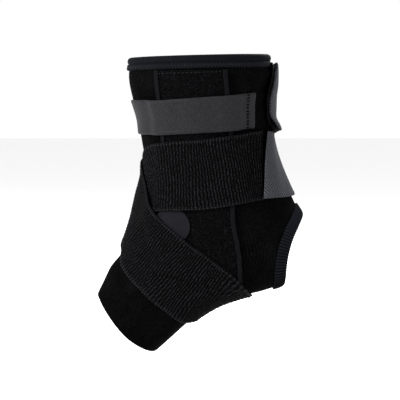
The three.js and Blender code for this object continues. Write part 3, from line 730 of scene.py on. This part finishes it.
# Its rings go out to 12.5 mm, round the edge and back to the middle of its inner face.
RINGS, SPOKES = 40, 72
DISC_STATION, DISC_TURN, DISC_THICKNESS = 8.85, math.radians(64), 0.001
EDGE_REACH = [0.0124, 0.0125, 0.0124, 0.0121, 0.006, 0.0]
EDGE_LEVEL = [0.85, 0.5, 0.15, 0.0, 0.0, 0.0]
down, _, normal = slopes(np.array(DISC_STATION), np.array(DISC_TURN))
first, second = unit(down), np.cross(normal, unit(down))
spoke = np.linspace(0, 2 * np.pi, SPOKES + 1)
way = np.cos(spoke)[:, None] * first + np.sin(spoke)[:, None] * second
reach = np.concatenate([np.linspace(0, 0.0121, RINGS), EDGE_REACH])
level = np.array([1.0] * RINGS + EDGE_LEVEL)
centre = (np.full(SPOKES + 1, DISC_STATION), np.full(SPOKES + 1, DISC_TURN))
grid = np.empty((len(reach), SPOKES + 1, 2))
for k, distance in enumerate(reach):
    spot = walk(*centre, way, np.full(SPOKES + 1, distance))
    grid[k, :, 0], grid[k, :, 1] = spot[0], spot[1]
heights = height_over(grid[..., 0], grid[..., 1]) + DISC_THICKNESS * level[:, None]
points = lifted(grid[..., 0], grid[..., 1], heights)
points[0] = points[0].mean(0)
points[-1] = points[-1].mean(0)
along = reach[:, None] * np.cos(spoke)[None, :]
across = reach[:, None] * np.sin(spoke)[None, :]
disc = cloth_grid("medial_disc_cloth", points, along, across)
disc.data.materials.append(disc_cloth)
mark_laid(grid[:RINGS, :, 0], grid[:RINGS, :, 1], heights[:RINGS])
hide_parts("medial_disc")
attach(disc, "root")

# The shin strap: smooth 25 mm webbing across the front of the shin, hooked on at both sides. Its
# end is turned in and held by a column of black zigzag stitches.
# Nylon webbing: a close twill of soft yarn with a slight gloss. Its two sets of slanting ridges are
# drawn 1.2 mm apart, coarser than real ones, so that they show.
webbing, tree, shader, u, v = cloth_material(
    "smooth_grey_webbing", roughness=0.6, sheen=0.04, sheen_tint="#d2d2dc", specular=0.1,
)
one = wave(tree, node(tree, "Math", u, v, operation="ADD"), 1.7)
two = wave(tree, node(tree, "Math", u, v, operation="SUBTRACT"), 1.7)
weave = node(tree, "Math", node(tree, "Math", one, two, operation="ADD"), 0.5, operation="MULTIPLY")
fuzz = node(tree, "Math", grain(tree, 1.6), 0.7, operation="MULTIPLY")
relief = node(tree, "Math", weave, 0.6, fuzz, operation="MULTIPLY_ADD")
colour = node(tree, "ValToRGB", relief, stops=[(0.35, "#020203"), (0.8, "#1a1a1d")])
finish_cloth(tree, shader, colour, relief, depth=0.0003)

# Black thread: matt spun polyester, so the stitch column shows as dark dots.
black_thread, _, shader, _, _ = cloth_material(
    "black_thread", roughness=0.8, sheen=0.0, sheen_tint="#ffffff", specular=0.02,
)
shader.inputs["Base Color"].default_value = linear("#010101")

CUFF_PATH = [(136, 2.64), (96, 2.79), (72, 2.86), (50, 2.9), (22, 2.9), (-10, 2.88), (-40, 2.85), (-62, 2.8)]
CUFF_HEM, CUFF_SEAM = 0.0052, 0.0062
CUFF_STITCHES = 11


def cuff_relief(at, side, length):
    """A raised hem at the free end, a groove at its stitches, and a raised line along both edges."""
    hem_part = 0.00045 / (1 + np.exp((at - CUFF_HEM) / 0.0003))
    groove = -0.0004 * np.exp(-(((at - CUFF_SEAM) / 0.0006) ** 2))
    border = 0.00018 * np.exp(-(((np.abs(side) - 0.0106) / 0.0005) ** 2))
    return hem_part + groove + border


cuff_strap, face = band(
    "cuff_strap_webbing", CUFF_PATH, width=0.025, thickness=0.0013, step=0.0006, columns=56, relief=cuff_relief,
)
cuff_strap.data.materials.append(webbing)
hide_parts("cuff_strap")
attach(cuff_strap, "root")
station, turn, top, at, sides = face
column = int(np.argmin(np.abs(at - CUFF_SEAM)))
picks = np.linspace(4, len(sides) - 5, CUFF_STITCHES).astype(int)
here_station, here_turn = station[column, picks], turn[column, picks]
flat_height = np.zeros(CUFF_STITCHES)
ahead = lifted(station[column + 2, picks], turn[column + 2, picks], flat_height)
tacks = stitches(
    "cuff_strap_stitches", lifted(here_station, here_turn, top[column, picks] + 0.0003),
    unit(ahead - lifted(here_station, here_turn, flat_height)), slopes(here_station, here_turn)[2],
    length=0.0030, thick=0.0010, material=black_thread,
)

# The two elastic straps: 50 mm woven elastic that crosses on the instep and passes under the sole.
# Rubber cords between the wefts draw it into ribs across its width, 2 mm apart, with beaded crowns.
# Ribbed elastic: the crowns carry a painted highlight broken into small beads 1.3 mm apart, and the grooves are
# painted black as painted shade.
RIB_PITCH = 0.0020
elastic, tree, shader, u, v = cloth_material(
    "ribbed_woven_elastic", roughness=0.6, sheen=0.0, sheen_tint="#9a9aa2", specular=0.02,
)
crown = wave(tree, u, 1000 * RIB_PITCH, math.pi / 2)
beads = wave(tree, v, 1.3)
knots = node(tree, "Math", grain(tree, 1.2, 1.0), 2.6, -0.75, operation="MULTIPLY_ADD", use_clamp=True)
relief = node(tree, "Math", beads, 0.4, knots, operation="MULTIPLY_ADD")
# Painted glints: the knots on the rib crowns are painted lighter.
painted_knot_glints = node(tree, "Math", knots, 0.8, operation="MULTIPLY")
lit = node(tree, "Math", beads, 0.3, painted_knot_glints, operation="MULTIPLY_ADD")
# The selvedge begins 21.9 mm from the strap's middle line and has beads without ribs, which carry a painted
# highlight.
from_middle = node(tree, "Math", v, operation="ABSOLUTE")
selvedge = node(tree, "Math", from_middle, 1.0, -21.9, operation="MULTIPLY_ADD", use_clamp=True)
edge_beads = node(tree, "Math", beads, 0.45, operation="MULTIPLY")
edge_light = node(tree, "Math", selvedge, edge_beads, operation="MULTIPLY")
# Painted highlight on the rib crowns and painted shade in the grooves: the colour is lightest on the crowns and
# black between them.
painted_crown_highlight = node(tree, "Math", crown, 1.6, operation="POWER")
shade = node(tree, "Math", painted_crown_highlight, lit, edge_light, operation="MULTIPLY_ADD")
colour = node(tree, "ValToRGB", shade, stops=[(0.02, "#000000"), (0.4, "#060607"), (1.0, "#1c1c1f")])
finish_cloth(tree, shader, colour, relief, depth=0.0003)

# Herringbone webbing: a broken twill in 3.4 mm stripes, matt and light grey. Its twill lines are
# drawn about 1.3 mm apart, as coarse as the render needs.
herringbone, tree, shader, u, v = cloth_material(
    "grey_herringbone_webbing", roughness=0.75, sheen=0.04, sheen_tint="#d8d8e0", specular=0.05,
)
zig = node(tree, "Math", v, 3.4, operation="PINGPONG")
twill = wave(tree, node(tree, "Math", u, zig, operation="ADD"), 1.9)
fuzz = node(tree, "Math", grain(tree, 0.9), 0.6, operation="MULTIPLY")
relief = node(tree, "Math", twill, 0.6, fuzz, operation="MULTIPLY_ADD")
colour = node(tree, "ValToRGB", relief, stops=[(0.25, "#101012"), (0.9, "#3a3b40")])
finish_cloth(tree, shader, colour, relief, depth=0.00018)

# Hook tape: nylon hooks 1.6 mm apart on a black ground, so it is rough with small hard glints.
hook_tape, tree, shader, u, v = cloth_material(
    "black_hook_tape", roughness=0.7, sheen=0.01, sheen_tint="#909098", specular=0.06,
)
hooks = node(tree, "Math", wave(tree, u, 1.6), wave(tree, v, 1.6), operation="MULTIPLY")
relief = node(tree, "Math", grain(tree, 0.8), 0.6, hooks, operation="MULTIPLY_ADD")
colour = node(tree, "ValToRGB", relief, stops=[(0.2, "#010102"), (0.95, "#09090b")])
finish_cloth(tree, shader, colour, relief, depth=0.0006)

# Centre lines as turns in degrees and stations. Strap A runs from its tab on the inner side over the
# instep to the seam under the sole, and strap B from that seam over the instep to its tab at the rear.
STRAP_A_PATH = [
    (139, 5.53), (128, 5.57), (118, 5.65), (101, 5.8), (86, 5.93), (70, 5.98), (54, 6.05), (34, 6.25), (14, 7.0),
    (0, 7.7), (-17, 8.6), (-46, 10.55), (-67, 12.4), (-88, 13.9), (-108, 14.9), (-135, 15.55), (-160, 15.8),
    (-180, 15.8),
]
STRAP_B_PATH = [
    (180, 15.8), (160, 15.8), (135, 15.55), (108, 14.9), (88, 13.9), (67, 12.4), (46, 10.55), (17, 8.6), (0, 7.7),
    (-14, 7.05), (-34, 6.45), (-54, 5.95), (-72, 5.3), (-92, 4.45), (-112, 3.5), (-128, 2.95),
]
TAB_PATHS = {
    "a": [(139, 5.53), (160, 5.57), (183, 5.58), (200, 5.5)],
    "b": [(-128, 2.95), (-148, 2.4), (-166, 2.14), (-180, 2.05), (-198, 2.0)],
}
SEAM_SLANT = 0.0045
# How a tab's free end lies: the curl of its corners, how far its middle stands off the leg, how far
# it reaches past its path and how far its rounded corners are cut back. Strap B's is the upper tab.
TAB_ENDS = {"a": (0.0, 0.0, 0.0, 0.002), "b": (0.0012, 0.0022, 0.007, 0.016)}


def rib_sway(at, side):
    """How far a rib strays from straight, as the cords are never quite even."""
    slow = 0.0002 * np.sin(side * 230 + 2.5 * np.sin(at * 47)) + 0.0002 * np.sin(at * 310 + side * 60)
    return slow + 0.0002 * np.sin(side * 1150 + 5 * np.sin(at * 190))


def rib_relief(at, side, length):
    """Ribs across the strap that fade out before a smooth selvedge."""
    ribs = (0.5 + 0.5 * np.cos(2 * np.pi * (at + rib_sway(at, side)) / RIB_PITCH)) ** 1.4
    ribs = ribs * (0.85 + 0.3 * np.sin(side * 2300 + 9 * np.sin(at * 640)))
    depth = 0.00075 * np.clip((0.0232 - np.abs(side)) / 0.0012, 0, 1)
    heads = 0.00035 * np.exp(-(((np.abs(side) - 0.0222) / 0.0005) ** 2)) * ribs
    border = 0.0003 * np.exp(-(((np.abs(side) - 0.0238) / 0.0004) ** 2))
    return depth * ribs + heads + border - 0.0002


def web_relief(at, side, length):
    """A turned-in hem at the free end and a raised line along both edges."""
    border = 0.0002 * np.exp(-(((np.abs(side) - 0.0222) / 0.0006) ** 2))
    hem_part = 0.0004 / (1 + np.exp((length - at - 0.006) / 0.0004))
    return border + hem_part


for letter, rows, way, seam_side in (("a", STRAP_A_PATH, 1, "start"), ("b", STRAP_B_PATH, -1, "end")):

    def seam_end(share):
        return way * SEAM_SLANT * share

    strap, _ = band(
        f"strap_{letter}_ribbed", rows, width=0.049, thickness=0.0013, step=0.00036, columns=72,
        relief=rib_relief, sway=rib_sway, **{seam_side: seam_end},
    )
    strap.data.materials.append(elastic)
    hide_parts(f"strap_{letter}_elastic")
    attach(strap, "root")

    # The strap's end: 50 mm grey herringbone webbing, sewn on at a slant, with a pad of hook tape on
    # its inner face that grips the pockets. The upper tab bridges the hollow behind the leg.
    curl, off, reach_on, cut_back = TAB_ENDS[letter]

    def stand_off(share, side):
        bridge = off * np.clip(share / 0.6, 0, 1) ** 2 * (1 - side ** 2)
        return bridge + curl * np.clip((share - 0.5) / 0.5, 0, 1) ** 2 * np.abs(side) ** 3

    def webbing_end(share):
        return reach_on - cut_back * (1 - np.sqrt(np.clip(1 - share ** 2, 0, 1)))

    def pad_start(share):
        return 0.0025 + seam_end(share)

    def pad_end(share):
        return 0.0012 + reach_on - cut_back / 2 * share ** 2

    hook, _ = band(
        f"strap_{letter}_hook_tape", TAB_PATHS[letter], width=0.0485, thickness=0.001, step=0.0012, columns=40,
        lift=stand_off, start=pad_start, end=pad_end,
    )
    hook.data.materials.append(hook_tape)
    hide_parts(f"strap_{letter}_hook")
    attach(hook, "root")
    tab, _ = band(
        f"strap_{letter}_tab_webbing", TAB_PATHS[letter], width=0.049, thickness=0.0013, step=0.0006, columns=60,
        relief=web_relief, start=seam_end, end=webbing_end,
    )
    tab.data.materials.append(herringbone)
    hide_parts(f"strap_{letter}_tab")
    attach(tab, "root")

# The studio: a white floor and white light all round, a large soft light at the front left, a faint
# one at the right and a weaker one behind, as for a catalogue picture on white.
FLOOR_HEIGHT = -0.115
bpy.ops.mesh.primitive_plane_add(size=12, location=(0, 0, FLOOR_HEIGHT))
floor = bpy.context.object
floor.name = "floor"
white_floor = bpy.data.materials.new("white_floor")
white_floor.use_nodes = True
white_floor.node_tree.nodes["Principled BSDF"].inputs["Base Color"].default_value = linear("#f4f4f4")
white_floor.node_tree.nodes["Principled BSDF"].inputs["Roughness"].default_value = 0.9
floor.data.materials.append(white_floor)

world = bpy.data.worlds.new("white_studio")
world.use_nodes = True
world.node_tree.nodes["Background"].inputs["Color"].default_value = (1, 1, 1, 1)
world.node_tree.nodes["Background"].inputs["Strength"].default_value = 1.0
bpy.context.scene.world = world

# Each light's place in metres, size in metres and power in watts.
VIEW_MIDDLE = Vector((-0.0036, 0, 0.018))
for name, place, size, power in (
    ("key_light", (-0.95, -0.8, 0.65), 0.6, 36),
    ("side_light", (0.95, -0.55, 0.5), 0.5, 4),
    ("back_light", (0.5, 1.0, 0.9), 0.6, 14),
):
    lamp = bpy.data.lights.new(name, "AREA")
    lamp.energy = power
    lamp.size = size
    holder = placed(name, lamp)
    holder.location = place
    holder.rotation_euler = (VIEW_MIDDLE - Vector(place)).to_track_quat("-Z", "Y").to_euler()

# The camera looks at the inner side from 1.1 m away, a little from above.
CAMERA_DISTANCE, CAMERA_RISE = 1.1, math.radians(4)
lens = bpy.data.cameras.new("camera")
lens.lens = 137.5
lens.sensor_width = 36
lens.clip_start = 0.01
camera = placed("camera", lens)
camera.location = VIEW_MIDDLE + Vector((0, -math.cos(CAMERA_RISE), math.sin(CAMERA_RISE))) * CAMERA_DISTANCE
camera.rotation_euler = (VIEW_MIDDLE - camera.location).to_track_quat("-Z", "Y").to_euler()
bpy.context.scene.camera = camera
bpy.context.scene.view_settings.view_transform = "Standard"
bpy.context.scene.view_settings.look = "None"
